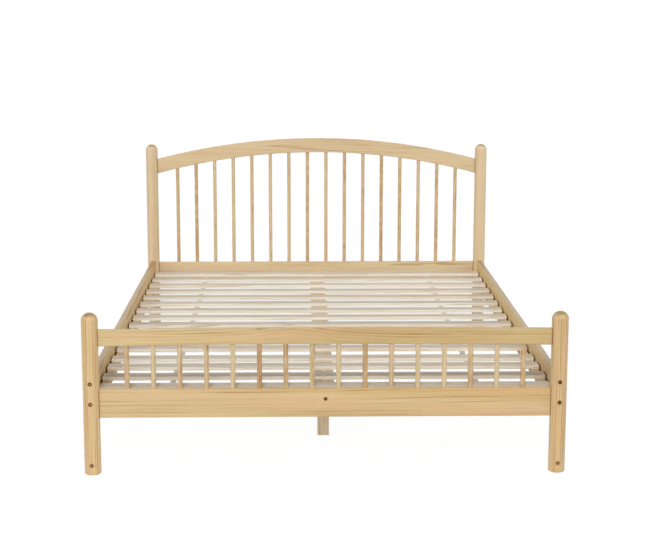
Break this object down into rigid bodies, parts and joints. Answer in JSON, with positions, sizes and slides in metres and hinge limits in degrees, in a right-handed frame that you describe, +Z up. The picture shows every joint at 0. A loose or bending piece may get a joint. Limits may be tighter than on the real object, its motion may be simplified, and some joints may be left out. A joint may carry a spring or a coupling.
{
  "type": "spindle bed",
  "caption": "Queen-size pine bed with round posts, an arched spindle headboard, a low spindle footboard, side rails and a strapped slat base on a centre beam.",
  "frame": {"origin": "on the floor, in the middle of the bed both ways", "axes": "+X to the right seen from the foot, +Y from the foot to the head, +Z up"},
  "size_m": [1.626, 2.156, 0.9244],
  "materials": {
    "post_pine": "clear satin lacquer on knot-free pine",
    "rail_pine": "clear satin lacquer on pine",
    "side_rail_pine": "clear satin lacquer on pine",
    "spindle_pine": "clear satin lacquer on turned pine",
    "slat_pine": "planed, unfinished pale softwood",
    "ledge_pine": "planed, unfinished pine",
    "beam_pine": "planed, unfinished pine",
    "dowel_beech": "fluted beech, unfinished",
    "strap_webbing": "plain woven webbing",
    "bolt_steel": "dark bronze plating",
    "zinc_steel": "zinc plated"
  },
  "bodies": {
    "root": {"beam_barrel_nuts": "zinc_steel", "beam_bolts": "bolt_steel", "centre_beam": "beam_pine", "centre_leg_foot": "beam_pine", "centre_leg_head": "beam_pine", "centre_leg_middle": "beam_pine", "foot_lower_rail": "rail_pine", "foot_post_bolts": "bolt_steel", "foot_post_left": "post_pine", "foot_post_right": "post_pine", "foot_spindles": "spindle_pine", "foot_upper_rail": "rail_pine", "head_arch_rail": "rail_pine", "head_lower_rail": "rail_pine", "head_post_left": "post_pine", "head_post_right": "post_pine", "head_spindle_01": "spindle_pine", "head_spindle_02": "spindle_pine", "head_spindle_03": "spindle_pine", "head_spindle_04": "spindle_pine", "head_spindle_05": "spindle_pine", "head_spindle_06": "spindle_pine", "head_spindle_07": "spindle_pine", "head_spindle_08": "spindle_pine", "head_spindle_09": "spindle_pine", "head_spindle_10": "spindle_pine", "head_spindle_11": "spindle_pine", "head_spindle_12": "spindle_pine", "head_spindle_13": "spindle_pine", "head_spindle_14": "spindle_pine", "head_spindle_15": "spindle_pine", "head_spindle_16": "spindle_pine", "ledge_screws": "zinc_steel", "leg_studs": "zinc_steel", "rail_dowels": "dowel_beech", "side_rail_barrel_nuts": "zinc_steel", "side_rail_bolts": "bolt_steel", "side_rail_left": "side_rail_pine", "side_rail_right": "side_rail_pine", "slat_01": "slat_pine", "slat_02": "slat_pine", "slat_03": "slat_pine", "slat_04": "slat_pine", "slat_05": "slat_pine", "slat_06": "slat_pine", "slat_07": "slat_pine", "slat_08": "slat_pine", "slat_09": "slat_pine", "slat_10": "slat_pine", "slat_11": "slat_pine", "slat_12": "slat_pine", "slat_13": "slat_pine", "slat_14": "slat_pine", "slat_15": "slat_pine", "slat_16": "slat_pine", "slat_ledge_left": "ledge_pine", "slat_ledge_right": "ledge_pine", "slat_strap_left": "strap_webbing", "slat_strap_right": "strap_webbing"}
  },
  "joints": []
}
